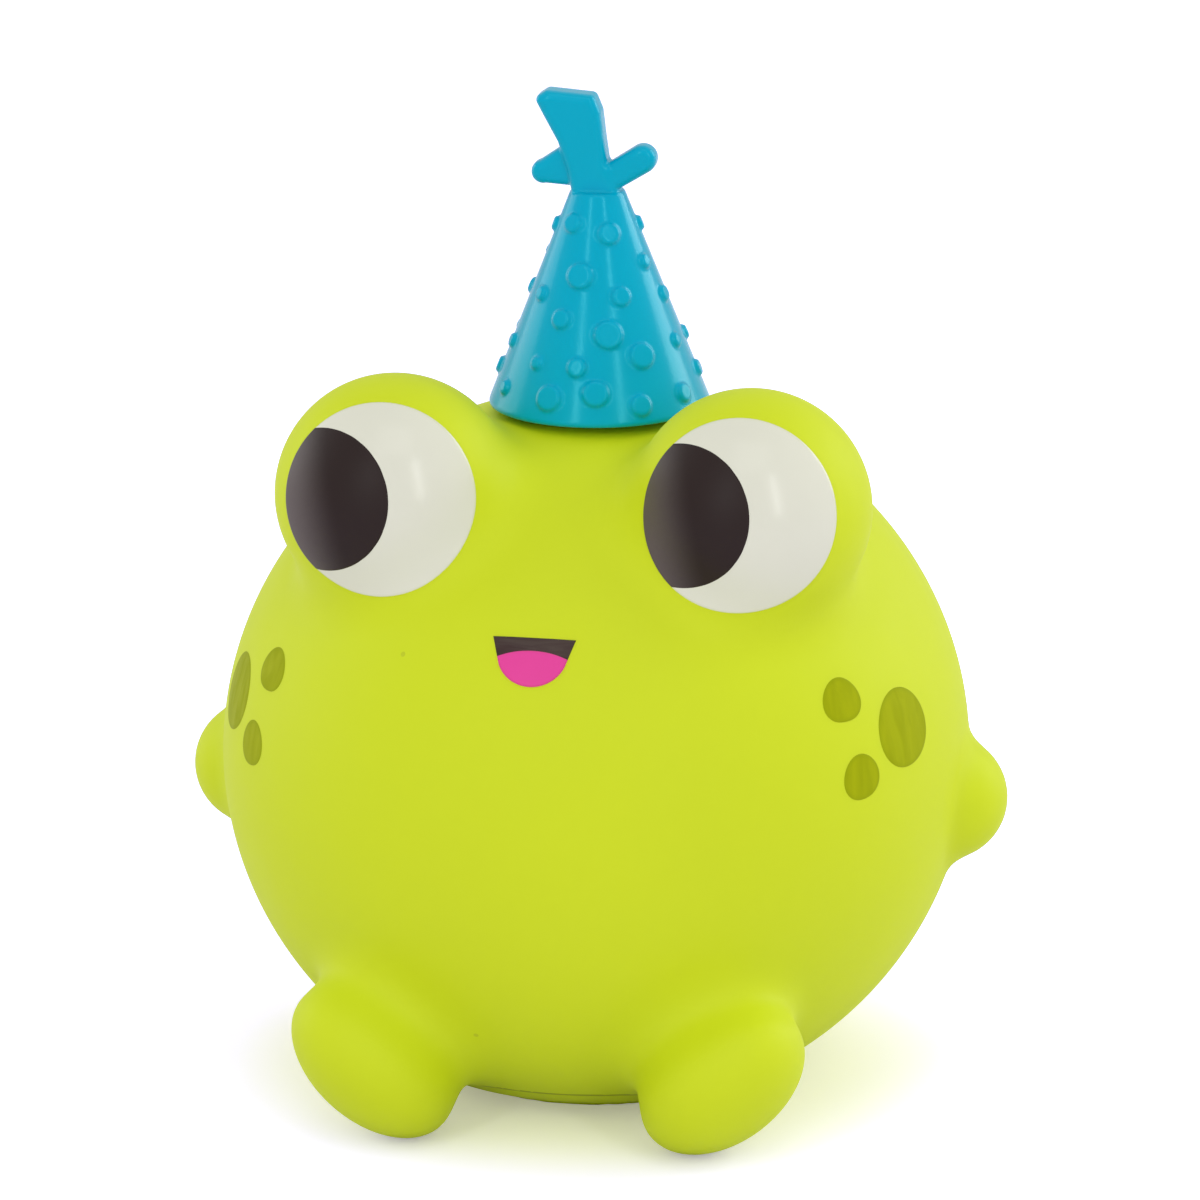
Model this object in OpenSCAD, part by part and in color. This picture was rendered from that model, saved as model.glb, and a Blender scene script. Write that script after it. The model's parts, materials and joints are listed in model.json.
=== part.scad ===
// Round squeeze toy: a frog with a party hat, hollow, with a squeaker in its base.
// Z points up, the face looks towards -Y, and the floor is at Z = 0.

/* [Body] */
// Radius of the round body, seen from above
body_r = 38; // [34:0.5:42]
// Half height of the round body before its base is cut flat
body_half_h = 36.7; // [33:0.1:40]
// Depth that the flat base cuts off the round body
base_sink = 3.2; // [2.6:0.1:4]
// Thickness of the vinyl wall
wall = 2.2; // [1.6:0.1:2.6]
// Radius of the low disc that the toy stands on
base_r = 15.4; // [13:0.1:17]
// Height of that disc below the round body
base_step = 1; // [0.6:0.1:1.4]
// Thickness of the floor inside the base
base_floor_t = 3.2; // [2.8:0.1:4]

/* [Eyes] */
// Radius of an eye mound
eye_r = 12; // [10.5:0.1:13]
// Angle of an eye mound to the side of the face
eye_turn = 47; // [42:0.5:52]
// Angle of an eye mound above the body's middle
eye_lift = 51; // [47:0.5:55]
// Distance of a mound's centre outside the round body
eye_out = 1.8; // [1:0.1:3]
// Shift of both eyes towards the toy's left
eye_side = 0.55; // [-1:0.05:1]
// Upward tilt of the gaze
eye_tilt = 10; // [0:1:15]
// Radius of the white patch's rim
eye_white_r = 9.6; // [8:0.1:10]
// Radius of a pupil
pupil_r = 7.1; // [5:0.1:7.5]
// Sideways shift of both pupils
pupil_shift = 5.4; // [3:0.1:6]
// Drop of both pupils below the middle of the eyes
pupil_drop = 0.2; // [0:0.1:1]
// Depth of the paint in the vinyl
paint_t = 0.5; // [0.3:0.05:0.7]

/* [Mouth] */
// Turn of the mouth and the cheek spots round the body, towards the toy's left
paint_turn = -1.1; // [-3:0.1:3]
// Angle of the mouth above the body's middle
mouth_lift = 28.4; // [24:0.2:33]
// Width of the mouth's straight upper edge
mouth_w = 8.3; // [6:0.1:10]
// Width of the mouth where its sides turn into the round chin
mouth_low_w = 7.1; // [5:0.1:7.1]
// Height of the slanted part of the mouth
mouth_side_h = 2; // [1.5:0.1:3]
// Radius of the mouth's round lower edge
mouth_chin_r = 3.6; // [3.55:0.05:4.5]
// Radius of the tongue's arched upper edge
tongue_r = 9; // [6:0.5:14]
// Distance of the tongue's crest below the upper edge
tongue_drop = 1.3; // [0.8:0.1:2]

/* [Cheek spots] */
// Radius of the large spot
spot_large_r = 4.1; // [3:0.1:5]
// Radius of the two small spots
spot_small_r = 2.4; // [1.5:0.1:3]

/* [Arms and feet] */
// Radius of an arm nub
arm_r = 6.4; // [5:0.1:8]
// Angle of an arm to the side of the face
arm_turn = 92; // [80:1:100]
// Angle of an arm above the body's middle
arm_lift = -6.1; // [-15:0.1:5]
// Depth of an arm's centre inside the round body
arm_sink = 2.1; // [1:0.1:3]
// Length of a foot
foot_len = 19.4; // [16:0.1:23]
// Depth of a foot towards the body
foot_depth = 16.5; // [15:0.1:19]
// Thickness of a foot across its length
foot_thick = 12.2; // [10:0.1:14]
// Rise of a foot towards its outer end
foot_tilt = 45; // [35:1:55]
// Turn of a foot towards the front
foot_yaw = 30; // [15:1:40]
// Angle of a foot to the side of the face
foot_turn = 32; // [26:0.5:38]
// Distance of a foot's centre outside the round body at that height
foot_out = 6; // [4:0.1:7]
// Radius of the hollow between a foot and the body
foot_throat_r = 2.4; // [1.5:0.1:3]

/* [Hat] */
// Radius of the hat's rim
hat_r = 11.3; // [9.5:0.1:12]
// Radius of the hat's neck below the tuft
hat_neck_r = 2.7; // [2.4:0.1:3]
// Height of the hat from its rim to its neck
hat_h = 22; // [18:0.5:26]
// Thickness of the hat's wall
hat_wall = 1.5; // [1.2:0.1:1.8]
// Depth of the hat's rim below the top of the head
hat_drop = 0.45; // [0:0.05:0.8]
// Lean of the hat towards the toy's right
hat_lean = 0.5; // [0:0.5:3]
// Shift of the hat towards the toy's left
hat_side = 0.3; // [-0.5:0.1:0.5]
// Thickness of the hat's inner floor
hat_floor_t = 1.4; // [1:0.1:2]
// Height of the raised dots above the hat
dot_proud = 0.45; // [0.3:0.05:0.6]
// Radius of a middling dot
dot_r = 1.1; // [0.7:0.05:1.2]
// Height of the tuft above the hat's neck
tuft_h = 10.4; // [8:0.1:12]
// Thickness of the tuft's ribbon
tuft_t = 3.4; // [3:0.1:4]
// Thickness of the tuft's two round ends
tuft_end_t = 2.8; // [2:0.1:2.9]

/* [Hat plug] */
// Radius of the plug's neck
plug_neck_r = 4.5; // [3.5:0.1:5]
// Radius of the plug's barb and head
plug_barb_r = 6.3; // [5.6:0.1:6.8]
// Height of the plug's tapered barb
plug_barb_h = 3; // [2:0.1:4]
// Height of the plug's head
plug_head_h = 1.4; // [1:0.1:2]
// Clearance around the plug
plug_gap = 0.25; // [0.2:0.05:0.4]

/* [Squeaker] */
// Radius of the squeaker's barrel
barrel_r = 6; // [5.6:0.1:6.6]
// Wall of the barrel
barrel_wall = 1.1; // [0.9:0.1:1.2]
// Height of the barrel
barrel_h = 13; // [12.6:0.1:16]
// Thickness of the barrel's floor and flange
flange_t = 1.2; // [1:0.1:1.4]
// Radius of the barrel's flange
flange_r = 8; // [7.6:0.1:9]
// Depth of the flange behind the base
flange_recess = 0.2; // [0.1:0.05:0.3]
// Height of the barrel's barb
barb_h = 1.2; // [0.8:0.1:1.6]
// Reach of the barb past the barrel
barb_out = 0.8; // [0.5:0.1:1]
// Radius of the air hole
air_hole_r = 0.9; // [0.6:0.1:1.1]
// Thickness of the barrel's cap
cap_t = 1.2; // [0.8:0.1:2]
// Depth of the cap's spigot in the barrel
spigot_h = 1.2; // [0.8:0.1:1.6]
// Clearance between the squeaker's fixed pieces
fit_gap = 0.1; // [0.05:0.05:0.15]

/* [Reed] */
// Length of the reed
reed_len = 7.4; // [6.6:0.1:7.6]
// Width of the reed
reed_w = 2.4; // [1.8:0.1:2.8]
// Thickness of the reed
reed_t = 0.2; // [0.15:0.05:0.3]
// Clearance on each side of the reed
reed_gap = 0.25; // [0.2:0.05:0.35]
// Length of the reed's root in the clamp
reed_root = 3; // [2.4:0.1:3.4]
// Width of the air groove under the reed
groove_w = 1.6; // [1:0.1:1.8]
// Depth of the air groove
groove_d = 1.8; // [1.2:0.1:2]
// Depth of the air chamber over the reed
chamber_d = 3; // [2.4:0.1:3.2]
// Depth of the air duct behind the clamp
duct_d = 1.2; // [0.8:0.1:1.4]

/* [Hidden] */
$fn = 72;

lime = [0.80, 0.86, 0.20];
olive = [0.65, 0.69, 0.08];
hat_blue = [0.10, 0.67, 0.79];
eye_pale = [0.90, 0.90, 0.84];
pupil_dark = [0.20, 0.16, 0.15];
mouth_dark = [0.27, 0.24, 0.21];
tongue_pink = [0.89, 0.29, 0.61];
clear_white = [0.88, 0.89, 0.87];
reed_grey = [0.62, 0.64, 0.66];

// How far a cutting tool reaches past what it cuts
over = 1;
body_z = body_half_h - base_sink;
crown_z = body_z + body_half_h;
print_t = paint_t / 2;
// Height of the columns that mark out paint on the skin
column_h = 8 * paint_t;
// Height of the mouth's upper edge above its middle
mouth_rise = (mouth_side_h + mouth_chin_r) / 2;

// Distance from the body's centre to its surface, at an angle above its middle
function reach(lift) = 1 / sqrt(pow(cos(lift) / body_r, 2) + pow(sin(lift) / body_half_h, 2));
// Radius of the round body at a height
function body_r_at(z) = body_r * sqrt(1 - pow((z - body_z) / body_half_h, 2));
// Height of the head's inner face at a distance from the middle
function inner_crown_z(r) = body_z + (body_half_h - wall) * sqrt(1 - pow(r / (body_r - wall), 2));

// Cheek spots: angle to the side, angle above the middle, radius
spots = [[53.8, 19.3, spot_small_r], [66.7, 12.5, spot_large_r], [55.3, 7.3, spot_small_r]];

// Foot: lowest reach of its tilted shape sets its height
foot_z = sqrt(pow(foot_len / 2 * sin(foot_tilt), 2) + pow(foot_thick / 2 * cos(foot_tilt), 2));
foot_reach = body_r_at(foot_z) + foot_out;

// Hat: slope of its side, height of its rim and of its inner floor
hat_slope = atan((hat_r - hat_neck_r) / hat_h);
function hat_r_at(z) = hat_r - z * tan(hat_slope);
hat_z = crown_z - hat_drop;
hat_floor_z = hat_drop + plug_gap + hat_r * sin(hat_lean);
hat_bore_r = plug_neck_r + plug_gap;
// Dots of one half of the hat: share of the way up, angle from the front, share of a middling dot's radius
dots = [[0.09, 33, 1.1], [0.12, -19, 1.3], [0.15, 8, 1.3], [0.11, 64, 1.0], [0.12, -56, 0.8],
        [0.17, -86, 0.9], [0.26, -4, 1.0], [0.26, -33, 0.7], [0.30, 39, 1.3], [0.33, 75, 0.8],
        [0.31, -70, 0.8], [0.40, 17, 1.4], [0.46, -20, 1.0], [0.56, 30, 1.0], [0.53, 83, 0.9],
        [0.55, -49, 0.8], [0.65, -8, 1.3], [0.69, 69, 0.8], [0.83, 25, 1.1], [0.87, -30, 1.0],
        [0.84, -80, 0.8]];
// Tuft's leaning slab: corners as shares of the tuft's height, sideways and up
tuft_slab = [[-0.23, -0.06], [0.23, -0.06], [0.20, 0.12], [0.11, 0.28], [0.08, 0.50], [0.05, 0.76],
             [0.01, 0.88], [-0.07, 0.95], [-0.46, 0.98], [-0.57, 0.94], [-0.59, 0.88], [-0.50, 0.71],
             [-0.38, 0.50], [-0.29, 0.24]];
// Tuft's two round ends: middle sideways and up, rise angle, half length, half width
tuft_ends = [[0.28, 0.20, 31, 0.37, 0.17], [-0.36, 0.20, 188, 0.31, 0.18]];

// Plug: its barb lies under the head's wall, its head over the hat's floor
barb_top = inner_crown_z(plug_barb_r + abs(hat_side)) - hat_z - plug_barb_r * sin(hat_lean) - plug_gap;
head_low = hat_floor_z + hat_floor_t + plug_gap;

// Squeaker: heights of its stacked pieces
barrel_bore_r = barrel_r - barrel_wall;
core_r = barrel_bore_r - fit_gap;
core_low = flange_recess + flange_t;
barrel_top = flange_recess + barrel_h;
core_top = barrel_top - spigot_h - fit_gap;
slot_d = reed_t + 2 * reed_gap;
reed_top = core_top - 4 * reed_gap;
reed_low = reed_top - reed_len;
root_low = reed_top - reed_root;
slot_low = reed_low - 2 * reed_gap;

// Ellipsoid with its three half axes
module ellipsoid(half) {
    scale(half) sphere(1);
}

// The round body, drawn in by a depth
module round_body(inset) {
    translate([0, 0, body_z]) ellipsoid([body_r - inset, body_r - inset, body_half_h - inset]);
}

// Frame on the body's skin: Z points out, Y points up
module on_body(turn, lift, out) {
    translate([0, 0, body_z]) rotate([0, 0, turn]) rotate([90 - lift, 0, 0])
        translate([0, 0, reach(lift) + out]) children();
}

// Space above a height
module above(z) {
    span = 4 * body_r;
    translate([-span / 2, -span / 2, z]) cube([span, span, span]);
}

// Frame of an eye mound, looking along -Y; side is 1 or -1
module eye_frame(side) {
    span = reach(eye_lift) + eye_out;
    translate([eye_side + side * span * sin(eye_turn) * cos(eye_lift), -span * cos(eye_turn) * cos(eye_lift),
               body_z + span * sin(eye_lift)])
        rotate([-eye_tilt, 0, 0]) children();
}

// Round column along an eye's gaze
module gaze_column(r) {
    rotate([90, 0, 0]) cylinder(h = eye_r + over, r = r);
}

// Round column in a pupil's place
module pupil_column() {
    translate([-pupil_shift, 0, -pupil_drop]) gaze_column(pupil_r);
}

// Foot, drawn in by a depth
module foot(side, inset) {
    mirror([side < 0 ? 1 : 0, 0, 0])
        translate([foot_reach * sin(foot_turn), -foot_reach * cos(foot_turn), foot_z])
            rotate([0, 0, -foot_yaw]) rotate([0, -foot_tilt, 0])
                ellipsoid([foot_len / 2 - inset, foot_depth / 2 - inset, foot_thick / 2 - inset]);
}

// Hollow that joins a foot to the body
module foot_throat(side) {
    way = [side * foot_reach * sin(foot_turn), -foot_reach * cos(foot_turn), foot_z - body_z];
    span = norm(way);
    translate([0, 0, body_z]) rotate([0, acos(way[2] / span), atan2(way[1], way[0])])
        translate([0, 0, span / 2]) cylinder(h = span / 2, r = foot_throat_r);
}

// Everything on the body that repeats on both sides, drawn in by a depth
module mounds_and_limbs(inset) {
    for (side = [-1, 1]) {
        eye_frame(side) sphere(eye_r - inset);
        on_body(side * arm_turn, arm_lift, -arm_sink) sphere(arm_r - inset);
        foot(side, inset);
    }
}

// Column through the skin in the mouth's place: slanted sides and a round chin
module mouth_column() {
    half_top = mouth_w / 2;
    half_low = mouth_low_w / 2;
    chin_y = sqrt(pow(mouth_chin_r, 2) - pow(half_low, 2)) - mouth_side_h;
    on_body(paint_turn, mouth_lift, -column_h / 2) translate([0, mouth_rise, 0]) {
        linear_extrude(column_h)
            polygon([[-half_top, 0], [half_top, 0], [half_low, -mouth_side_h], [-half_low, -mouth_side_h]]);
        intersection() {
            translate([0, chin_y, 0]) cylinder(h = column_h, r = mouth_chin_r);
            translate([-mouth_w, chin_y - 2 * mouth_chin_r, 0])
                cube([2 * mouth_w, 2 * mouth_chin_r, column_h]);
        }
    }
}

// Round column whose upper edge is the tongue's arch
module tongue_column() {
    on_body(paint_turn, mouth_lift, -column_h / 2) translate([0, mouth_rise - tongue_drop - tongue_r, 0])
        cylinder(h = column_h, r = tongue_r);
}

// The cheek spots' columns through the skin
module spot_columns(side) {
    for (spot = spots)
        on_body(paint_turn + side * spot[0], spot[1], -column_h / 2) cylinder(h = column_h, r = spot[2]);
}

// What the paint takes out of the shell
module paint_pockets() {
    for (side = [-1, 1]) {
        eye_frame(side) difference() {
            gaze_column(eye_white_r);
            sphere(eye_r - paint_t);
        }
        difference() {
            spot_columns(side);
            round_body(paint_t);
        }
    }
    difference() {
        mouth_column();
        round_body(paint_t);
    }
}

// Frame of the hat: its rim is at Z = 0
module hat_frame() {
    translate([hat_side, 0, hat_z]) rotate([0, -hat_lean, 0]) children();
}

module body_shell() {
    color(lime) difference() {
        union() {
            intersection() {
                round_body(0);
                above(base_step);
            }
            cylinder(h = base_floor_t, r = base_r);
            mounds_and_limbs(0);
        }
        intersection() {
            round_body(wall);
            above(base_floor_t);
        }
        mounds_and_limbs(wall);
        for (side = [-1, 1])
            foot_throat(side);
        paint_pockets();
        hat_frame() translate([0, 0, barb_top]) cylinder(h = -barb_top + hat_drop + over, r = hat_bore_r);
        translate([0, 0, -over]) cylinder(h = base_floor_t + 2 * over, r = barrel_r + fit_gap);
        translate([0, 0, -over]) cylinder(h = over + core_low, r = flange_r + fit_gap);
    }
}

module eye_white(side) {
    color(eye_pale) eye_frame(side) difference() {
        intersection() {
            sphere(eye_r);
            gaze_column(eye_white_r);
        }
        sphere(eye_r - paint_t);
        difference() {
            pupil_column();
            sphere(eye_r - print_t);
        }
    }
}

module pupil(side) {
    color(pupil_dark) eye_frame(side) difference() {
        intersection() {
            sphere(eye_r);
            gaze_column(eye_white_r);
            pupil_column();
        }
        sphere(eye_r - print_t);
    }
}

module left_eye_white() {
    eye_white(1);
}

module right_eye_white() {
    eye_white(-1);
}

module left_pupil() {
    pupil(1);
}

module right_pupil() {
    pupil(-1);
}

module mouth() {
    color(mouth_dark) difference() {
        intersection() {
            mouth_column();
            round_body(0);
        }
        round_body(paint_t);
        difference() {
            tongue_column();
            round_body(print_t);
        }
    }
}

module tongue() {
    color(tongue_pink) difference() {
        intersection() {
            mouth_column();
            tongue_column();
            round_body(0);
        }
        round_body(print_t);
    }
}

module cheek_spots(side) {
    color(olive) difference() {
        intersection() {
            spot_columns(side);
            round_body(0);
        }
        round_body(paint_t);
    }
}

module left_cheek_spots() {
    cheek_spots(1);
}

module right_cheek_spots() {
    cheek_spots(-1);
}

// Side of the hat: a cone, hollow but for an inner floor with a hole for the plug
module hat_cone() {
    skin = hat_wall / cos(hat_slope);
    inner_h = hat_h - 2 * hat_wall;
    difference() {
        cylinder(h = hat_h, r1 = hat_r, r2 = hat_neck_r);
        difference() {
            translate([0, 0, -over])
                cylinder(h = over + inner_h, r1 = hat_r_at(-over) - skin, r2 = hat_r_at(inner_h) - skin);
            translate([0, 0, hat_floor_z]) cylinder(h = hat_floor_t, r = hat_r);
        }
        cylinder(h = hat_floor_z + hat_floor_t + over, r = hat_bore_r);
    }
}

// Raised dots on both halves of the hat
module hat_dots() {
    for (half = [0, 1], dot = dots)
        rotate([0, 0, dot[1] + 180 * half])
            translate([0, -hat_r_at(hat_h * dot[0]), hat_h * dot[0]])
                rotate([90 - hat_slope, 0, 0])
                    translate([0, 0, -hat_wall / 2])
                        cylinder(h = hat_wall / 2 + dot_proud, r = dot_r * dot[2]);
}

// Knotted ribbon on the hat's neck: a leaning slab between two round ends
module hat_tuft() {
    rotate([90, 0, 0]) linear_extrude(tuft_t, center = true) polygon(tuft_h * tuft_slab);
    for (end = tuft_ends)
        translate(tuft_h * [end[0], 0, end[1]]) rotate([0, 90 - end[2], 0])
            ellipsoid([tuft_h * end[4], tuft_end_t / 2, tuft_h * end[3]]);
}

module party_hat() {
    color(hat_blue) hat_frame() {
        hat_cone();
        hat_dots();
        translate([0, 0, hat_h]) hat_tuft();
    }
}

module hat_plug() {
    color(clear_white) hat_frame() {
        translate([0, 0, barb_top - plug_barb_h])
            cylinder(h = plug_barb_h, r1 = plug_neck_r, r2 = plug_barb_r);
        translate([0, 0, barb_top - over]) cylinder(h = head_low - barb_top + 2 * over, r = plug_neck_r);
        translate([0, 0, head_low]) cylinder(h = plug_head_h, r1 = plug_barb_r, r2 = plug_neck_r);
    }
}

module squeaker_barrel() {
    color(clear_white) difference() {
        union() {
            translate([0, 0, flange_recess]) cylinder(h = flange_t, r = flange_r);
            translate([0, 0, flange_recess]) cylinder(h = barrel_h, r = barrel_r);
            translate([0, 0, base_floor_t + fit_gap])
                cylinder(h = barb_h, r1 = barrel_r + barb_out, r2 = barrel_r);
        }
        translate([0, 0, core_low]) cylinder(h = barrel_h, r = barrel_bore_r);
        translate([0, -groove_d / 2, 0]) cylinder(h = core_low + over, r = air_hole_r);
    }
}

module squeaker_cap() {
    color(clear_white) difference() {
        union() {
            translate([0, 0, barrel_top]) cylinder(h = cap_t, r = barrel_r);
            translate([0, 0, barrel_top - spigot_h]) cylinder(h = spigot_h + cap_t / 2, r = core_r);
        }
        translate([-reed_w / 2, chamber_d - duct_d, barrel_top - spigot_h - over])
            cube([reed_w, duct_d, spigot_h + cap_t + 2 * over]);
    }
}

// Half of the squeaker's core; side is 1 or -1 along Y
module half_core(side) {
    intersection() {
        translate([0, 0, core_low]) cylinder(h = core_top - core_low, r = core_r);
        translate([-barrel_r, side > 0 ? 0 : -barrel_r, 0]) cube([2 * barrel_r, barrel_r, barrel_top]);
    }
}

module reed_block() {
    color(eye_pale) difference() {
        half_core(-1);
        translate([-groove_w / 2, -groove_d, core_low - over])
            cube([groove_w, groove_d + over, root_low - core_low]);
    }
}

module reed_clamp() {
    slot_w = reed_w + 4 * reed_gap;
    color(clear_white) difference() {
        half_core(1);
        translate([-slot_w / 2, -over, slot_low])
            cube([slot_w, over + slot_d, reed_top + 2 * reed_gap - slot_low]);
        translate([-slot_w / 2, -over, slot_low])
            cube([slot_w, over + chamber_d, root_low - slot_low]);
        translate([-reed_w / 2, chamber_d - duct_d, root_low - over])
            cube([reed_w, duct_d, core_top]);
    }
}

module reed() {
    color(reed_grey) translate([-reed_w / 2, reed_gap, reed_low]) cube([reed_w, reed_t, reed_len]);
}

body_shell();
left_eye_white();
right_eye_white();
left_pupil();
right_pupil();
mouth();
tongue();
left_cheek_spots();
right_cheek_spots();
party_hat();
hat_plug();
squeaker_barrel();
squeaker_cap();
reed_block();
reed_clamp();
reed();
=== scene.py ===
import json
import math

import bpy
import numpy as np
from mathutils import Matrix, Vector

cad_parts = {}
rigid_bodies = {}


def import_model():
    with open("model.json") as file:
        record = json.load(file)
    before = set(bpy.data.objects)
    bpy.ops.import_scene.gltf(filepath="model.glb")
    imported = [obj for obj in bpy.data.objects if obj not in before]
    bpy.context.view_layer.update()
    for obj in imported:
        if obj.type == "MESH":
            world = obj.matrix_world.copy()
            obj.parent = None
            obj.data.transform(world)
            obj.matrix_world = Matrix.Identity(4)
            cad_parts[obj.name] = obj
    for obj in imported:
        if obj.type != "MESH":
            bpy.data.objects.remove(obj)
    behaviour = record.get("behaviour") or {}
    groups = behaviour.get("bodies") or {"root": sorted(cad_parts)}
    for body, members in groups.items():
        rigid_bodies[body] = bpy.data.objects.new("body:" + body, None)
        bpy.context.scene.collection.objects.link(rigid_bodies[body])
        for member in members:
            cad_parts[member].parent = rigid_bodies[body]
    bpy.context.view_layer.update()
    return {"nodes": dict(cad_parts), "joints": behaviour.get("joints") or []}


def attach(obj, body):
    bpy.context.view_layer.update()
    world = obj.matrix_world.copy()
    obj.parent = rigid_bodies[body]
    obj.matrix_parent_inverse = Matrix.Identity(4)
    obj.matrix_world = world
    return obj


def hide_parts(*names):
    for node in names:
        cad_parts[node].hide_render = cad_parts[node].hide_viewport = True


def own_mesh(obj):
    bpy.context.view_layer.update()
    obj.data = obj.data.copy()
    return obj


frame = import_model()
joints = {joint["name"]: joint for joint in frame["joints"]}
mm = 0.001


# Fields: negative inside a shape, in millimetres, for points in the last axis of an array

def lengths(p):
    return np.sqrt((p * p).sum(-1))


def ellipsoidField(p, half):
    near = lengths(p / half)
    steep = lengths(p / half ** 2)
    return near * (near - 1) / np.maximum(steep, 1e-6)


def softUnion(a, b, blend):
    meet = np.maximum(blend - np.abs(a - b), 0) / blend
    return np.minimum(a, b) - meet ** 2 * blend / 4


def softOverlap(a, b, blend):
    return -softUnion(-a, -b, blend)


def softCut(a, b, blend):
    return softOverlap(a, -b, blend)


def discField(p, radius, low, high, edge):
    side = np.hypot(p[..., 0], p[..., 1]) - radius
    ends = np.maximum(low - p[..., 2], p[..., 2] - high)
    return softOverlap(side, ends, edge)


def slopes(field, p, step=0.02):
    return np.stack([field(p + e) - field(p - e) for e in step * np.eye(3)], -1) / (2 * step)


def ontoSurface(field, p, rounds=3):
    for _ in range(rounds):
        g = slopes(field, p)
        p = p - field(p)[:, None] * g / np.maximum((g * g).sum(-1), 0.05)[:, None]
    return p


def netOverField(field, low, high, cell, rounds):
    # one vertex in each grid cell that the surface crosses, one quad round each crossed grid edge
    low = np.array(low, float)
    counts = np.ceil((np.array(high) - low) / cell).astype(int) + 1
    grid = [low[i] + cell * np.arange(counts[i]) for i in range(3)]
    plane = np.stack(np.meshgrid([0.0], grid[1], grid[2], indexing="ij"), -1)[0]
    values = np.stack([field(plane + (x, 0, 0)) for x in grid[0]])
    cells = tuple(counts - 1)
    quads, crossings = [], []
    for axis in range(3):
        u, v = (axis + 1) % 3, (axis + 2) % 3
        before = np.moveaxis(values, axis, 0)[:-1]
        after = np.moveaxis(values, axis, 0)[1:]
        found = np.argwhere((before < 0) != (after < 0))
        b, a = before[tuple(found.T)], after[tuple(found.T)]
        order = [axis] + [i for i in range(3) if i != axis]
        at = np.empty_like(found)
        at[:, order] = found
        point = low + cell * at
        point[:, axis] += cell * b / (b - a)
        ring = [at - np.eye(3, dtype=int)[u] * du - np.eye(3, dtype=int)[v] * dv
                for du, dv in ((1, 1), (0, 1), (0, 0), (1, 0))]
        quad = np.stack([np.ravel_multi_index(c.T, cells) for c in ring], 1)
        quad[b > 0] = quad[b > 0][:, ::-1]
        quads.append(quad)
        crossings.append(point)
    quads, crossings = np.concatenate(quads), np.concatenate(crossings)
    used, faces = np.unique(quads, return_inverse=True)
    faces = faces.reshape(-1, 4)
    share = np.bincount(faces.ravel(), minlength=len(used))[:, None]
    spread = np.repeat(crossings, 4, axis=0)
    points = np.stack([np.bincount(faces.ravel(), spread[:, i], len(used)) for i in range(3)], 1) / share
    points = ontoSurface(field, points)
    ends = np.concatenate([faces, np.roll(faces, -1, 1)]).ravel()
    starts = np.concatenate([np.roll(faces, -1, 1), faces]).ravel()
    links = np.bincount(starts, minlength=len(used))[:, None]
    for _ in range(rounds):  # even out the quads along the surface
        mean = np.stack([np.bincount(starts, points[ends, i], len(used)) for i in range(3)], 1) / links
        points = ontoSurface(field, points + 0.6 * (mean - points), 1)
    return ontoSurface(field, points), faces


def newPiece(name, points, faces, material):
    mesh = bpy.data.meshes.new(name)
    mesh.from_pydata((points * mm).tolist(), [], [list(face) for face in faces])
    mesh.shade_smooth()
    mesh.materials.append(material)
    piece = bpy.data.objects.new(name, mesh)
    bpy.context.scene.collection.objects.link(piece)
    return piece


def markRim(piece, distances):
    rim = piece.data.attributes.new("rim", "FLOAT", "POINT")
    rim.data.foreach_set("value", distances.astype(np.float32))


# Shader groups that several finishes share

def place(tree, kind, inputs=None, **settings):
    node = tree.nodes.new(kind)
    for name, value in settings.items():
        setattr(node, name, value)
    for name, value in (inputs or {}).items():
        node.inputs[name].default_value = value
    return node


def newGroup(name, inputs, outputs):
    tree = bpy.data.node_groups.new(name, "ShaderNodeTree")
    for label, kind, value in inputs:
        socket = tree.interface.new_socket(label, in_out="INPUT", socket_type="NodeSocket" + kind)
        socket.default_value = value
    for label, kind in outputs:
        tree.interface.new_socket(label, in_out="OUTPUT", socket_type="NodeSocket" + kind)
    return tree, tree.nodes.new("NodeGroupInput"), tree.nodes.new("NodeGroupOutput")


def objectNoise(tree, scale, detail):
    where = place(tree, "ShaderNodeTexCoord")
    noise = place(tree, "ShaderNodeTexNoise", {"Scale": scale, "Detail": detail})
    tree.links.new(where.outputs["Object"], noise.inputs["Vector"])
    return noise


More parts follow.
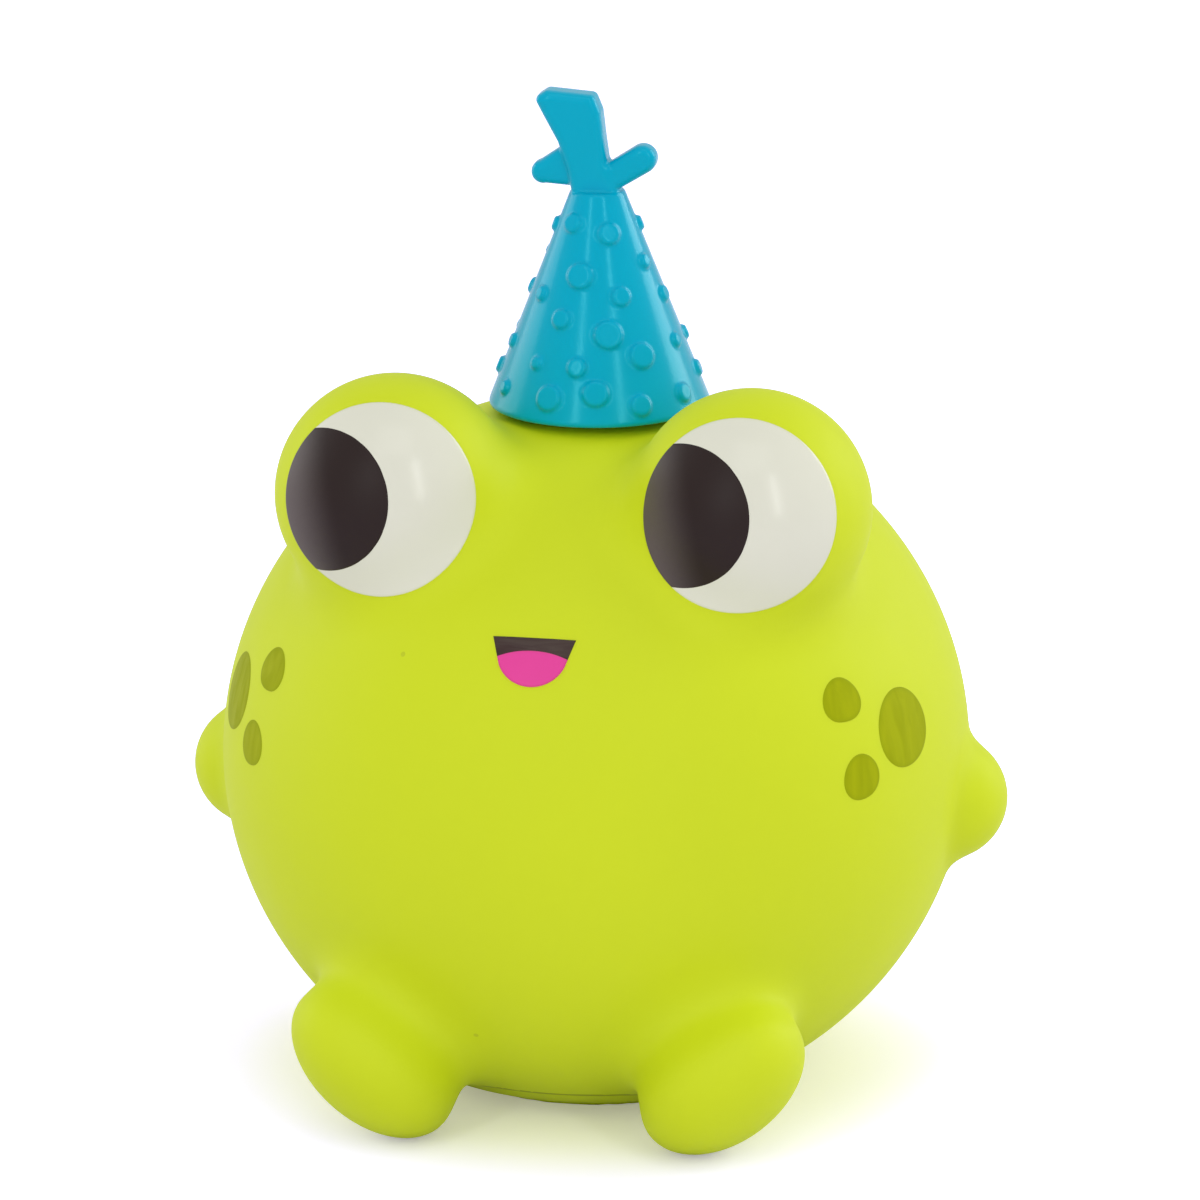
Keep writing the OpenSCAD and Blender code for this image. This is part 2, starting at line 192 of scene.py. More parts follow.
def vinylGrainGroup():
    # cloudy tone, uneven sheen and the fine pebble of moulded vinyl
    tree, given, made = newGroup(
        "vinylGrain",
        [("Color", "Color", (1, 1, 1, 1)), ("Cloud", "Float", 0.03), ("Sheen", "Float", 0.45),
         ("Unevenness", "Float", 0.08), ("Pebble Scale", "Float", 1800.0)],
        [("Color", "Color"), ("Roughness", "Float"), ("Height", "Float")])
    cloud = objectNoise(tree, 42.0, 3.0)
    centred = place(tree, "ShaderNodeMath", {1: 0.5}, operation="SUBTRACT")
    tone = place(tree, "ShaderNodeMath", {2: 1.0}, operation="MULTIPLY_ADD")
    tint = place(tree, "ShaderNodeHueSaturation")
    smear = objectNoise(tree, 160.0, 4.0)
    smearCentred = place(tree, "ShaderNodeMath", {1: 0.5}, operation="SUBTRACT")
    rough = place(tree, "ShaderNodeMath", operation="MULTIPLY_ADD")
    pebble = objectNoise(tree, 1800.0, 2.0)
    wire = tree.links.new
    wire(cloud.outputs["Fac"], centred.inputs[0])
    wire(centred.outputs[0], tone.inputs[0])
    wire(given.outputs["Cloud"], tone.inputs[1])
    wire(tone.outputs[0], tint.inputs["Value"])
    wire(given.outputs["Color"], tint.inputs["Color"])
    wire(tint.outputs["Color"], made.inputs["Color"])
    wire(smear.outputs["Fac"], smearCentred.inputs[0])
    wire(smearCentred.outputs[0], rough.inputs[0])
    wire(given.outputs["Unevenness"], rough.inputs[1])
    wire(given.outputs["Sheen"], rough.inputs[2])
    wire(rough.outputs[0], made.inputs["Roughness"])
    wire(given.outputs["Pebble Scale"], pebble.inputs["Scale"])
    wire(pebble.outputs["Fac"], made.inputs["Height"])
    return tree


def specksGroup():
    # sparse dust specks and pin marks
    tree, given, made = newGroup(
        "specks",
        [("Color", "Color", (1, 1, 1, 1)), ("Speck Color", "Color", (0, 0, 0, 1)), ("Scale", "Float", 130.0),
         ("Size", "Float", 0.035), ("Share", "Float", 0.3), ("Strength", "Float", 0.5)],
        [("Color", "Color")])
    where = place(tree, "ShaderNodeTexCoord")
    cells = place(tree, "ShaderNodeTexVoronoi")
    split = place(tree, "ShaderNodeSeparateColor")
    small = place(tree, "ShaderNodeMath", operation="LESS_THAN")
    chosen = place(tree, "ShaderNodeMath", operation="LESS_THAN")
    both = place(tree, "ShaderNodeMath", operation="MULTIPLY")
    mask = place(tree, "ShaderNodeMath", operation="MULTIPLY")
    mix = place(tree, "ShaderNodeMix", data_type="RGBA")
    wire = tree.links.new
    wire(where.outputs["Object"], cells.inputs["Vector"])
    wire(given.outputs["Scale"], cells.inputs["Scale"])
    wire(cells.outputs["Distance"], small.inputs[0])
    wire(given.outputs["Size"], small.inputs[1])
    wire(cells.outputs["Color"], split.inputs["Color"])
    wire(split.outputs["Red"], chosen.inputs[0])
    wire(given.outputs["Share"], chosen.inputs[1])
    wire(small.outputs[0], both.inputs[0])
    wire(chosen.outputs[0], both.inputs[1])
    wire(both.outputs[0], mask.inputs[0])
    wire(given.outputs["Strength"], mask.inputs[1])
    wire(mask.outputs[0], mix.inputs["Factor"])
    wire(given.outputs["Color"], mix.inputs["A"])
    wire(given.outputs["Speck Color"], mix.inputs["B"])
    wire(mix.outputs["Result"], made.inputs["Color"])
    return tree


def brushStreaksGroup():
    # bristle marks of paint that was brushed through a stencil
    tree, given, made = newGroup(
        "brushStreaks",
        [("Color", "Color", (1, 1, 1, 1)), ("Streak Color", "Color", (0, 0, 0, 1)),
         ("Along", "Vector", (900, 900, 140)), ("Amount", "Float", 0.5), ("Sheen", "Float", 0.4)],
        [("Color", "Color"), ("Roughness", "Float"), ("Height", "Float")])
    where = place(tree, "ShaderNodeTexCoord")
    stretch = place(tree, "ShaderNodeVectorMath", operation="MULTIPLY")
    bristles = place(tree, "ShaderNodeTexNoise", {"Scale": 1.0, "Detail": 4.0, "Distortion": 0.6})
    sharpen = place(tree, "ShaderNodeMapRange", {"From Min": 0.35, "From Max": 0.68})
    amount = place(tree, "ShaderNodeMath", operation="MULTIPLY")
    mix = place(tree, "ShaderNodeMix", data_type="RGBA")
    rough = place(tree, "ShaderNodeMath", {1: 0.12}, operation="MULTIPLY_ADD")
    wire = tree.links.new
    wire(where.outputs["Object"], stretch.inputs[0])
    wire(given.outputs["Along"], stretch.inputs[1])
    wire(stretch.outputs[0], bristles.inputs["Vector"])
    wire(bristles.outputs["Fac"], sharpen.inputs["Value"])
    wire(sharpen.outputs[0], amount.inputs[0])
    wire(given.outputs["Amount"], amount.inputs[1])
    wire(amount.outputs[0], mix.inputs["Factor"])
    wire(given.outputs["Color"], mix.inputs["A"])
    wire(given.outputs["Streak Color"], mix.inputs["B"])
    wire(mix.outputs["Result"], made.inputs["Color"])
    wire(sharpen.outputs[0], rough.inputs[0])
    wire(given.outputs["Sheen"], rough.inputs[2])
    wire(rough.outputs[0], made.inputs["Roughness"])
    wire(sharpen.outputs[0], made.inputs["Height"])
    return tree


def rimPoolAndPaintedLightGroup():
    # paint thins or pools towards the rim of its patch; the same mix paints green bounce light on the eye
    # whites' rims, painted sheen on the pupils' edges and a painted shade line in the crease round the body
    # above its base; "rim" is the distance to it in millimetres
    tree, given, made = newGroup(
        "rimPoolAndPaintedLight",
        [("Color", "Color", (1, 1, 1, 1)), ("Rim Color", "Color", (0, 0, 0, 1)), ("Width", "Float", 0.5),
         ("Strength", "Float", 0.6)],
        [("Color", "Color")])
    rim = place(tree, "ShaderNodeAttribute", attribute_name="rim")
    off = place(tree, "ShaderNodeMath", operation="ABSOLUTE")
    fade = place(tree, "ShaderNodeMapRange", {"To Min": 1.0, "To Max": 0.0}, interpolation_type="SMOOTHSTEP")
    strength = place(tree, "ShaderNodeMath", operation="MULTIPLY")
    mix = place(tree, "ShaderNodeMix", data_type="RGBA")
    wire = tree.links.new
    wire(rim.outputs["Fac"], off.inputs[0])
    wire(off.outputs[0], fade.inputs["Value"])
    wire(given.outputs["Width"], fade.inputs["From Max"])
    wire(fade.outputs[0], strength.inputs[0])
    wire(given.outputs["Strength"], strength.inputs[1])
    wire(strength.outputs[0], mix.inputs["Factor"])
    wire(given.outputs["Color"], mix.inputs["A"])
    wire(given.outputs["Rim Color"], mix.inputs["B"])
    wire(mix.outputs["Result"], made.inputs["Color"])
    return tree


vinylGrain, specks = vinylGrainGroup(), specksGroup()
brushStreaks, rimPoolAndPaintedLight = brushStreaksGroup(), rimPoolAndPaintedLightGroup()
print("shader groups are ready")


# Finishes

def linear(*rgb):
    # colour as seen on a screen, 0 to 255, to the linear values that shaders take
    share = [c / 255 for c in rgb]
    return tuple(c / 12.92 if c <= 0.04045 else ((c + 0.055) / 1.055) ** 2.4 for c in share) + (1.0,)


def newFinish(name, steps, bump, **constants):
    # steps are groups in order; each takes over the colour, and a later roughness or height wins
    material = bpy.data.materials.new(name)
    material.use_nodes = True
    tree = material.node_tree
    shader = tree.nodes["Principled BSDF"]
    for label, value in constants.items():
        shader.inputs[label].default_value = value
    last = None
    for group, values in steps:
        node = place(tree, "ShaderNodeGroup", node_tree=group)
        for label, value in values.items():
            node.inputs[label].default_value = value
        if last:
            tree.links.new(last.outputs["Color"], node.inputs["Color"])
        if "Roughness" in node.outputs:
            tree.links.new(node.outputs["Roughness"], shader.inputs["Roughness"])
            relief = place(tree, "ShaderNodeBump", {"Strength": bump[0], "Distance": bump[1] * mm})
            tree.links.new(node.outputs["Height"], relief.inputs["Height"])
            tree.links.new(relief.outputs["Normal"], shader.inputs["Normal"])
        last = node
    tree.links.new(last.outputs["Color"], shader.inputs["Base Color"])
    return material


limeVinyl = newFinish("limeVinyl", [
    (vinylGrain, {"Color": linear(205, 220, 12), "Cloud": 0.05, "Sheen": 0.6, "Unevenness": 0.1}),
    (specks, {"Speck Color": linear(120, 130, 20), "Strength": 0.25, "Share": 0.22}),
    # painted shade: a thin dark line in the crease round the body above its base
    (rimPoolAndPaintedLight, {"Rim Color": linear(96, 110, 0), "Width": 0.24, "Strength": 0.7})],
    (0.25, 0.05), **{"Specular IOR Level": 0.35, "Subsurface Weight": 0.2, "Subsurface Radius": (1, 1, 0.3),
                     "Subsurface Scale": 0.0015})

hatVinyl = newFinish("hatVinyl", [
    (vinylGrain, {"Color": linear(0, 166, 198), "Cloud": 0.06, "Sheen": 0.19, "Unevenness": 0.12,
                  "Pebble Scale": 2600.0}),
    (specks, {"Speck Color": linear(8, 110, 140), "Strength": 0.3, "Share": 0.15, "Scale": 210.0})],
    (0.25, 0.03), **{"Specular IOR Level": 0.42, "Specular Tint": (0.22, 0.85, 0.85, 1)})

eyePaint = newFinish("eyePaint", [
    (vinylGrain, {"Color": linear(222, 222, 205), "Cloud": 0.03, "Sheen": 0.22, "Unevenness": 0.08,
                  "Pebble Scale": 700.0}),
    # painted bounce light: the whites turn yellow-green towards their rims, as if lit by the green body
    (rimPoolAndPaintedLight, {"Rim Color": linear(214, 216, 176), "Width": 0.35, "Strength": 0.5})],
    (0.12, 0.04), **{"Specular IOR Level": 0.4})

pupilPaint = newFinish("pupilPaint", [
    (vinylGrain, {"Color": linear(31, 12, 9), "Cloud": 0.1, "Sheen": 0.46, "Unevenness": 0.1,
                  "Pebble Scale": 3200.0}),
    # painted sheen, lightest at the pupil's outer edge and fading across it
    (rimPoolAndPaintedLight, {"Rim Color": linear(91, 81, 79), "Width": 5.8, "Strength": 1.0})],
    (0.2, 0.03), **{"Specular IOR Level": 0.3})

mouthPaint = newFinish("mouthPaint", [
    (brushStreaks, {"Color": linear(54, 32, 30), "Streak Color": linear(84, 74, 64),
                    "Along": (160, 900, 1500), "Amount": 0.45, "Sheen": 0.3}),
    (rimPoolAndPaintedLight, {"Rim Color": linear(60, 52, 22), "Width": 0.22, "Strength": 0.6})],
    (0.35, 0.06), **{"Specular IOR Level": 0.28})

tonguePaint = newFinish("tonguePaint", [
    (vinylGrain, {"Color": linear(227, 62, 152), "Cloud": 0.06, "Sheen": 0.4, "Unevenness": 0.1,
                  "Pebble Scale": 2600.0}),
    (rimPoolAndPaintedLight, {"Rim Color": linear(216, 66, 130), "Width": 0.3, "Strength": 0.7})],
    (0.2, 0.03), **{"Specular IOR Level": 0.25})

spotPaint = newFinish("spotPaint", [
    (brushStreaks, {"Color": linear(164, 173, 8), "Streak Color": linear(146, 156, 4),
                    "Along": (700, 700, 130), "Amount": 0.7, "Sheen": 0.46}),
    (rimPoolAndPaintedLight, {"Rim Color": linear(148, 160, 6), "Width": 0.6, "Strength": 0.8})],
    (0.25, 0.05), **{"Specular IOR Level": 0.04})

plugPlastic = newFinish("plugPlastic", [
    (vinylGrain, {"Color": linear(226, 228, 224), "Cloud": 0.04, "Sheen": 0.38, "Unevenness": 0.12}),
    (specks, {"Speck Color": linear(150, 150, 142), "Strength": 0.4})],
    (0.2, 0.03), **{"Specular IOR Level": 0.4})

squeakerPlastic = newFinish("squeakerPlastic", [
    (vinylGrain, {"Color": linear(232, 234, 230), "Cloud": 0.05, "Sheen": 0.34, "Unevenness": 0.14,
                  "Pebble Scale": 2400.0}),
    (specks, {"Speck Color": linear(160, 158, 148), "Strength": 0.4, "Scale": 260.0})],
    (0.2, 0.03), **{"Specular IOR Level": 0.45})

reedFilm = newFinish("reedFilm", [
    (brushStreaks, {"Color": linear(196, 200, 204), "Streak Color": linear(170, 175, 181),
                    "Along": (1800, 1800, 200), "Amount": 0.6, "Sheen": 0.25})],
    (0.2, 0.02), **{"Specular IOR Level": 0.5})
print("finishes are ready")


# Body: round head and belly in one, with eye mounds, arms, feet and the low base

bodyForm = {
    "half": np.array([37.99, 37.99, 36.7]),   # half axes of the round body
    "centre": np.array([0.0, 0.0, 33.5]),
    "baseRadius": 15.4,                       # low disc that the toy stands on
    "baseStep": 1.0,
    "stepRound": 0.9,
    "stepCrease": 0.3,
    "creaseShadeHeight": 3.4,                        # painted shade line in the crease round the body above its base
    "creaseShadeReach": 22.5,                        # from the middle of the base, so the feet stay plain
    "cell": 0.62,                             # size of the mesh's quads
    "evenRounds": 6,
    "room": ((-44, -46, -2), (44, 40, 78)),   # box that holds the whole body
}
moundForm = {
    "radius": 12.0,
    "turn": 47.0,
    "lift": 51.0,
    "out": 1.8,                               # middle of a mound beyond the round body
    "toLeft": np.array([0.55, 0, 0]),         # both eyes sit a little towards the toy's left
    "gazeUp": 10.0,
    "blend": 4.6,
}
armForm = {"radius": 6.4, "turn": 92.0, "lift": -6.1, "out": -2.1, "blend": 1.8}
footForm = {
    "half": np.array([9.7, 8.25, 6.1]),
    "tilt": 45.0,                             # rise towards the outer end
    "yaw": -30.0,
    "turn": 32.0,
    "out": 6.0,                               # middle of a foot beyond the round body
    "blend": (6.0, 4.2),                      # towards the belly and at the outer end
    "blendFrom": (18.0, 29.0),
}
socketForm = {
    "flangeRadius": 8.1,
    "flangeDepth": 1.45,
    "barrelRadius": 7.0,
    "barrelDepth": 15.2,
    "cornerRound": (0.2, 0.6),                # at the flange's seat and at the inner end
    "edgeRound": 0.4,
}
plugHole = {
    "neckRadius": 4.75,
    "wallUnder": -2.6,
    "roomRadius": 7.0,
    "roomUnder": -10.0,
    "cornerRound": (0.2, 0.6),                # in the wall and in the room under it
    "edgeRound": 0.4,
}
pastSkin = 9.0                                # cuts run this far out through a surface

hatJoint = joints["hat_turn"]
hatOrigin = np.array(hatJoint["pos_m"]) / mm
hatUp = np.array(hatJoint["axis"])
hatAxes = np.stack([np.cross([0, 1, 0], hatUp), np.array([0.0, 1.0, 0.0]), hatUp], 1)


def outward(turn, lift):
    t, l = math.radians(turn), math.radians(lift)
    return np.array([math.sin(t) * math.cos(l), -math.cos(t) * math.cos(l), math.sin(l)])


def onBody(turn, lift, out=0.0):
    # point at an angle to the side of the face and above the middle, beyond the round body by out
    way = outward(turn, lift)
    return bodyForm["centre"] + way * (1 / lengths(way / bodyForm["half"]) + out)


def turned(axis, degrees):
    return np.array(Matrix.Rotation(math.radians(degrees), 3, axis))


moundCentres = {}
for side in (1, -1):
    middle = onBody(side * moundForm["turn"], moundForm["lift"], moundForm["out"])
    moundCentres[side] = middle + moundForm["toLeft"]
armCentre = onBody(armForm["turn"], armForm["lift"], armForm["out"])
footAxes = turned("Z", footForm["yaw"]) @ turned("Y", -footForm["tilt"])
footZ = lengths(footAxes[2] * footForm["half"])   # a foot just touches the floor
footDrop = (footZ - bodyForm["centre"][2]) / bodyForm["half"][2]
footReach = bodyForm["half"][0] * math.sqrt(1 - footDrop ** 2) + footForm["out"]
footCentre = np.array([footReach * math.sin(math.radians(footForm["turn"])),
                       -footReach * math.cos(math.radians(footForm["turn"])), footZ])


def bodyField(p):
    q = p.copy()
    q[..., 0] = np.abs(q[..., 0])             # arms and feet are alike on both sides
    d = ellipsoidField(q - bodyForm["centre"], bodyForm["half"])
    d = softOverlap(d, bodyForm["baseStep"] - q[..., 2], bodyForm["stepRound"])
    base = discField(q, bodyForm["baseRadius"], 0.0, 4 * bodyForm["baseStep"], bodyForm["stepRound"])
    d = softUnion(d, base, bodyForm["stepCrease"])
    for centre in moundCentres.values():
        d = softUnion(d, lengths(p - centre) - moundForm["radius"], moundForm["blend"])
    d = softUnion(d, lengths(q - armCentre) - armForm["radius"], armForm["blend"])
    outer = np.interp(q[..., 0], footForm["blendFrom"], footForm["blend"])
    d = softUnion(d, ellipsoidField((q - footCentre) @ footAxes, footForm["half"]), outer)
    seatRound, endRound = socketForm["cornerRound"]
    flange = discField(q, socketForm["flangeRadius"], -pastSkin, socketForm["flangeDepth"], seatRound)
    barrel = discField(q, socketForm["barrelRadius"], -pastSkin, socketForm["barrelDepth"], endRound)
    d = softCut(d, np.minimum(flange, barrel), socketForm["edgeRound"])
    h = (p - hatOrigin) @ hatAxes
    neckRound, roomRound = plugHole["cornerRound"]
    neck = discField(h, plugHole["neckRadius"], plugHole["wallUnder"], pastSkin, neckRound)
    room = discField(h, plugHole["roomRadius"], plugHole["roomUnder"], plugHole["wallUnder"], roomRound)
    return softCut(d, np.minimum(neck, room), plugHole["edgeRound"])


def squeezed(piece):
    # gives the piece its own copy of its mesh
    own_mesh(piece)


bodyPoints, bodyFaces = netOverField(bodyField, *bodyForm["room"], bodyForm["cell"], bodyForm["evenRounds"])
frogBody = newPiece("frogBody", bodyPoints, bodyFaces, limeVinyl)
# painted shade line in the crease above the base, kept off the feet
nearCreaseShade = lengths(bodyPoints) < bodyForm["creaseShadeReach"]
markRim(frogBody, np.where(nearCreaseShade, bodyPoints[:, 2] - bodyForm["creaseShadeHeight"], bodyForm["creaseShadeReach"]))
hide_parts("body_shell")
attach(frogBody, "body")
squeezed(frogBody)
print("body:", len(bodyPoints), "vertices")


# Paint on the body: thin patches that follow its skin

patchForm = {
    "edge": 0.16,                             # width of a patch's rounded edge
    "edgeSunk": 0.02,
    "sunk": 0.3,                              # its underside lies in the skin
    "dropFrom": 12.0,                         # a drawing starts this far out and falls onto the skin
    "dropRounds": 60,
    "dropShare": 0.9,
    "ringShares": [1, 0.99, 0.975, 0.955, 0.92, 0.86, 0.76, 0.62, 0.46, 0.3, 0.14],
}


def skinBelow(seat, flat):
    # drops points of a flat drawing onto the skin, along the seat's outward axis
    origin, axes = seat
    p = origin + flat @ axes[:, :2].T + patchForm["dropFrom"] * axes[:, 2]
    for _ in range(patchForm["dropRounds"]):
        p = p - bodyField(p)[:, None] * patchForm["dropShare"] * axes[:, 2]
    g = slopes(bodyField, p)
    return p, g / lengths(g)[:, None]


def paintPatch(seat, outline, middle, proud):
    shares = np.array(patchForm["ringShares"])
    flat = middle + (outline - middle)[None] * shares[:, None, None]
    inset = lengths(outline - middle)[None] * (1 - shares)[:, None]
    flat = np.concatenate([flat.reshape(-1, 2), [middle]])
    inset = np.append(inset.ravel(), lengths(outline - middle).min())
    skin, normal = skinBelow(seat, flat)
    crest = np.sqrt(1 - (1 - np.minimum(inset / patchForm["edge"], 1)) ** 2)
    top = skin + normal * ((proud + patchForm["edgeSunk"]) * crest - patchForm["edgeSunk"])[:, None]
    under = skin - normal * patchForm["sunk"]
    n, rings, total = len(outline), len(shares), len(flat)
    ahead = np.roll(np.arange(n), -1)
    faces = []
    for ring in range(rings - 1):
        a, b = ring * n, (ring + 1) * n
        faces += [(a + i, a + ahead[i], b + ahead[i], b + i) for i in range(n)]
    last = (rings - 1) * n
    faces += [(last + i, last + ahead[i], total - 1) for i in range(n)]
    faces += [tuple(total + k for k in reversed(face)) for face in faces]
    faces += [(i, total + i, total + ahead[i], ahead[i]) for i in range(n)]
    return np.concatenate([top, under]), faces, np.concatenate([inset, inset])


def paintedPiece(name, patches, material, node):
    points, faces, rims, start = [], [], [], 0
    for p, f, rim in patches:
        points.append(p)
        faces += [[start + k for k in face] for face in f]
        rims.append(rim)
        start += len(p)
    piece = newPiece(name, np.concatenate(points), faces, material)
    markRim(piece, np.concatenate(rims))
    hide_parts(node)
    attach(piece, "body")
    squeezed(piece)
    return piece


def circle(radius, count=96):
    t = np.linspace(0, 2 * math.pi, count, endpoint=False)
    return radius * np.stack([np.cos(t), np.sin(t)], 1)


def roundOutline(middle, circles, lines=(), count=144, corners=()):
    # outline of what lies inside all circles and below all lines, seen from a middle point
    t = np.linspace(-math.pi, math.pi, count, endpoint=False)
    extra = [math.atan2(y - middle[1], x - middle[0]) for x, y in corners]
    t = np.sort(np.append(t, extra))
    way = np.stack([np.cos(t), np.sin(t)], 1)
    reach = np.full(len(t), 1e3)
    for (x, y), radius, inside in circles:
        off = np.array(middle) - (x, y)
        along = way @ off
        root = np.sqrt(np.maximum(along ** 2 - (off @ off - radius ** 2), 0))
        hit = -along + root if inside else np.where(along < 0, -along - root, 1e3)
        blocked = along ** 2 - (off @ off - radius ** 2) > 0
        reach = np.minimum(reach, np.where(blocked & (hit > 0), hit, 1e3))
    for (nx, ny), level in lines:
        speed = way @ np.array([nx, ny])
        room = level - np.dot(middle, (nx, ny))
        reach = np.minimum(reach, np.where(speed > 1e-6, room / np.maximum(speed, 1e-6), 1e3))
    return np.array(middle) + way * reach[:, None]


eyeForm = {
    "whiteRadius": 9.6,
    "whiteProud": 0.06,
    "pupilRadius": 7.1,
    "pupilAt": np.array([-5.4, -0.2]),
    "pupilInset": 0.02,                       # a pupil stops just short of the white's rim
    "pupilProud": 0.1,
    "sheenWay": np.array([1.0, 0.2]),          # painted sheen: a pupil is lightest at its outer edge and darkens this way
}


def crossing(radiusA, radiusB, centre):
    # where a circle round the origin meets one round another centre
    span = math.hypot(*centre)
    along = np.array(centre) / span
    x = (radiusA ** 2 - radiusB ** 2 + span ** 2) / (2 * span)
    y = math.sqrt(radiusA ** 2 - x ** 2) * np.array([-along[1], along[0]])
    return [tuple(x * along + y), tuple(x * along - y)]


for side, sideName in ((1, "left"), (-1, "right")):
    gaze = turned("X", -moundForm["gazeUp"])
    seat = (moundCentres[side], np.stack([gaze[:, 0], gaze[:, 2], -gaze[:, 1]], 1))
    white = paintPatch(seat, circle(eyeForm["whiteRadius"]), np.zeros(2), eyeForm["whiteProud"])
    paintedPiece(sideName + "EyeWhite", [white], eyePaint, sideName + "_eye_white")
    middle, rim = eyeForm["pupilAt"], eyeForm["whiteRadius"] - eyeForm["pupilInset"]
    pupil = roundOutline(middle, [((0, 0), rim, True), (middle, eyeForm["pupilRadius"], True)],
                         corners=crossing(rim, eyeForm["pupilRadius"], middle))
    points, faces, _ = paintPatch(seat, pupil, middle, eyeForm["pupilProud"])
    # distance from the edge where the painted sheen is brightest
    fromSheenEdge = rim + (points - seat[0]) @ seat[1][:, :2] @ eyeForm["sheenWay"]
    paintedPiece(sideName + "Pupil", [(points, faces, fromSheenEdge)], pupilPaint, sideName + "_pupil")
print("eyes are painted")


paintTurn = -1.1                              # the mouth and spots sit a little round to the toy's right
mouthForm = {
    "lift": 28.4,
    "topHalf": 4.15,                          # half the straight upper edge
    "lowHalf": 3.55,                          # half the width where the chin begins
    "sideHeight": 2.0,
    "chinRadius": 3.6,
    "tongueRadius": 9.0,
    "tongueDrop": 1.3,                        # crest of the tongue under the upper edge
    "underlap": 0.3,                          # dark paint under the tongue's edge
    "bandMiddle": 0.42,                       # share of the way down to the tongue's crest
    "bandEnd": (0.05, 0.25),                  # the band's low corners, inwards and down
    "tongueEnd": (0.02, 0.02),                # the tongue's corners, outwards and down
    "bandProud": 0.07,
    "tongueProud": 0.1,
}


def paintMouth():
    form = mouthForm
    way = outward(paintTurn, form["lift"])
    right = outward(paintTurn + 90, 0)
    up = np.cross(way, right)
    rise = (form["sideHeight"] + form["chinRadius"]) / 2
    seat = (onBody(paintTurn, form["lift"]) + up * rise, np.stack([right, up, way], 1))
    slant = np.array([form["sideHeight"], form["lowHalf"] - form["topHalf"]])
    slant = slant / lengths(slant)
    sides = [((s * slant[0], slant[1]), form["topHalf"] * slant[0]) for s in (1, -1)]
    topEdge = [((0, 1), 0.0)]
    chinY = math.sqrt(form["chinRadius"] ** 2 - form["lowHalf"] ** 2) - form["sideHeight"]
    archY = -form["tongueDrop"] - form["tongueRadius"]
    lowArch = form["tongueRadius"] - form["underlap"]
    topCorners = [(s * form["topHalf"], 0.0) for s in (1, -1)]
    inwards, down = form["bandEnd"]
    lowCorners = [(s * (form["lowHalf"] - inwards), -form["sideHeight"] - down) for s in (1, -1)]
    middle = np.array([0, -form["tongueDrop"] * form["bandMiddle"]])
    band = roundOutline(middle, [((0, archY), lowArch, False)], topEdge + sides,
                        corners=topCorners + lowCorners)
    paintedPiece("mouthBand", [paintPatch(seat, band, middle, form["bandProud"])], mouthPaint,
                 "mouth")
    outwards, down = form["tongueEnd"]
    meet = [(s * (form["lowHalf"] + outwards), -form["sideHeight"] - down) for s in (1, -1)]
    middle = np.array([0, -rise])
    circles = [((0, archY), form["tongueRadius"], True), ((0, chinY), form["chinRadius"], True)]
    tongue = roundOutline(middle, circles, sides, corners=meet)
    paintedPiece("tonguePrint", [paintPatch(seat, tongue, middle, form["tongueProud"])], tonguePaint,
                 "tongue")


paintMouth()
print("mouth is painted")


# Each spot: angle to the side, angle above the middle, radius, and how its outline strays from round
spotForm = {
    "places": [(53.8, 19.3, 2.4, 0.1, 1.6), (66.7, 12.5, 4.1, 0.04, 1.3), (55.3, 7.3, 2.4, 0.07, 1.4)],
    "proud": 0.03,
}


def spotPatch(side, turn, lift, radius, stray, phase):
    t = np.linspace(0, 2 * math.pi, 96, endpoint=False)
    wobble = 1 + stray * (0.6 * np.sin(2 * t + phase) + 0.4 * np.sin(3 * t + 2 * phase))
    outline = radius * wobble[:, None] * np.stack([np.cos(t), np.sin(t)], 1)
    around = paintTurn + side * turn
    way = outward(around, lift)
    right = outward(around + 90, 0)
    seat = (onBody(around, lift), np.stack([right, np.cross(way, right), way], 1))
    return paintPatch(seat, outline, np.zeros(2), spotForm["proud"])


for side, sideName in ((1, "left"), (-1, "right")):
    patches = [spotPatch(side, *spot) for spot in spotForm["places"]]
    paintedPiece(sideName + "CheekSpots", patches, spotPaint, sideName + "_cheek_spots")
print("cheek spots are painted")


# Hat: a dotted cone with a knotted tuft, in its own leaning frame with the rim at height 0

hatForm = {
    "radius": 11.3,
    "neckRadius": 2.7,
    "height": 22.0,
    "rimRound": 0.7,
    "topRound": 0.3,
    "recess": 0.8,                            # underside clears the head
    "recessRadius": 9.7,
    "recessRound": 0.3,
    "plugRoom": (6.8, 4.6),                   # radius and height of the room for the plug's head
    "plugRoomRound": 0.4,
    "underEdge": 0.3,
    "dotProud": 0.44,
    "dotRound": 0.13,
    "dotRadius": 1.1,
    "dotFlare": 0.6,                          # how far a dot's side leans in
    "dotSteep": 0.85,                         # evens out the field on that leaning side
    "dotReach": 1.5,
    "cell": 0.21,
    "evenRounds": 3,
    "room": ((-12.4, -12.4, -1), (12.4, 12.4, 33.4)),
    # share of the way up, angle from the front and relative radius of each dot on one half
    "dots": [(0.09, 33, 1.1), (0.12, -19, 1.3), (0.15, 8, 1.3), (0.11, 64, 1.0), (0.12, -56, 0.8),
             (0.17, -86, 0.9), (0.26, -4, 1.0), (0.26, -33, 0.7), (0.30, 39, 1.3), (0.33, 75, 0.8),
             (0.31, -70, 0.8), (0.40, 17, 1.4), (0.46, -20, 1.0), (0.56, 30, 1.0), (0.53, 83, 0.9),
             (0.55, -49, 0.8), (0.65, -8, 1.3), (0.69, 69, 0.8), (0.83, 25, 1.1), (0.87, -30, 1.0),
             (0.84, -80, 0.8)],
}
